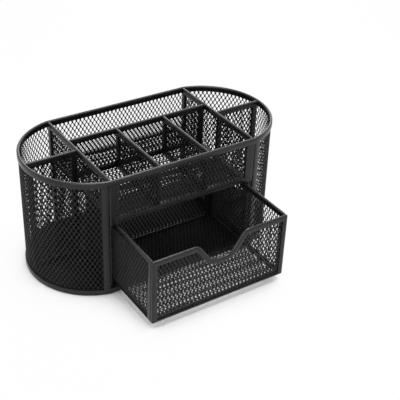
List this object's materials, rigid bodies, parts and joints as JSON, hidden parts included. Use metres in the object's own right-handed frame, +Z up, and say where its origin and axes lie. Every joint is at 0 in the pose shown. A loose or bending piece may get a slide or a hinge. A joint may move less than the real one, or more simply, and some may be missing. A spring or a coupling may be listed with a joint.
{
  "type": "desk organizer",
  "caption": "Oval desk organizer of black expanded steel mesh with bound edges, open pen compartments over a base, and a sliding drawer with a finger notch.",
  "frame": {"origin": "middle of the stand, without its drawer, on the plane that its bottom rim rests on", "axes": "+X along the length, to the right as the drawer is faced; +Y to the rear wall; +Z up"},
  "size_m": [0.22, 0.163, 0.104],
  "materials": {
    "stand_mesh": "black powder coat on expanded steel, satin",
    "stand_strip": "black powder coat on folded steel strip, satin",
    "stand_plate": "black powder coat on plain sheet steel, satin",
    "drawer_mesh": "black powder coat on expanded steel, satin",
    "drawer_strip": "black powder coat on folded steel strip, satin"
  },
  "bodies": {
    "stand": {"top_rim": "stand_strip", "bottom_rim": "stand_strip", "rear_wall_mesh": "stand_mesh", "left_end_mesh": "stand_mesh", "right_end_mesh": "stand_mesh", "base_plate": "stand_plate", "left_post": "stand_strip", "right_post": "stand_strip", "front_mesh": "stand_mesh", "left_jamb": "stand_strip", "right_jamb": "stand_strip", "lintel": "stand_strip", "left_cross_divider_mesh": "stand_mesh", "left_cross_divider_binding": "stand_strip", "right_cross_divider_mesh": "stand_mesh", "right_cross_divider_binding": "stand_strip", "shelf_mesh": "stand_mesh", "shelf_binding": "stand_strip", "long_divider_mesh": "stand_mesh", "long_divider_binding": "stand_strip", "left_short_divider_mesh": "stand_mesh", "left_short_divider_binding": "stand_strip", "right_short_divider_mesh": "stand_mesh", "right_short_divider_binding": "stand_strip", "left_end_divider_mesh": "stand_mesh", "left_end_divider_binding": "stand_strip", "right_end_divider_mesh": "stand_mesh", "right_end_divider_binding": "stand_strip"},
    "drawer": {"drawer_front_mesh": "drawer_mesh", "drawer_front_binding": "drawer_strip", "drawer_left_side_mesh": "drawer_mesh", "drawer_left_side_binding": "drawer_strip", "drawer_right_side_mesh": "drawer_mesh", "drawer_right_side_binding": "drawer_strip", "drawer_back_mesh": "drawer_mesh", "drawer_back_binding": "drawer_strip", "drawer_floor_mesh": "drawer_mesh", "drawer_floor_binding": "drawer_strip"}
  },
  "joints": [
    {"name": "drawer_slide", "type": "slide", "parent": "stand", "child": "drawer", "axis": [0, -1, 0], "range_m": [-0.054, 0.026]}
  ]
}
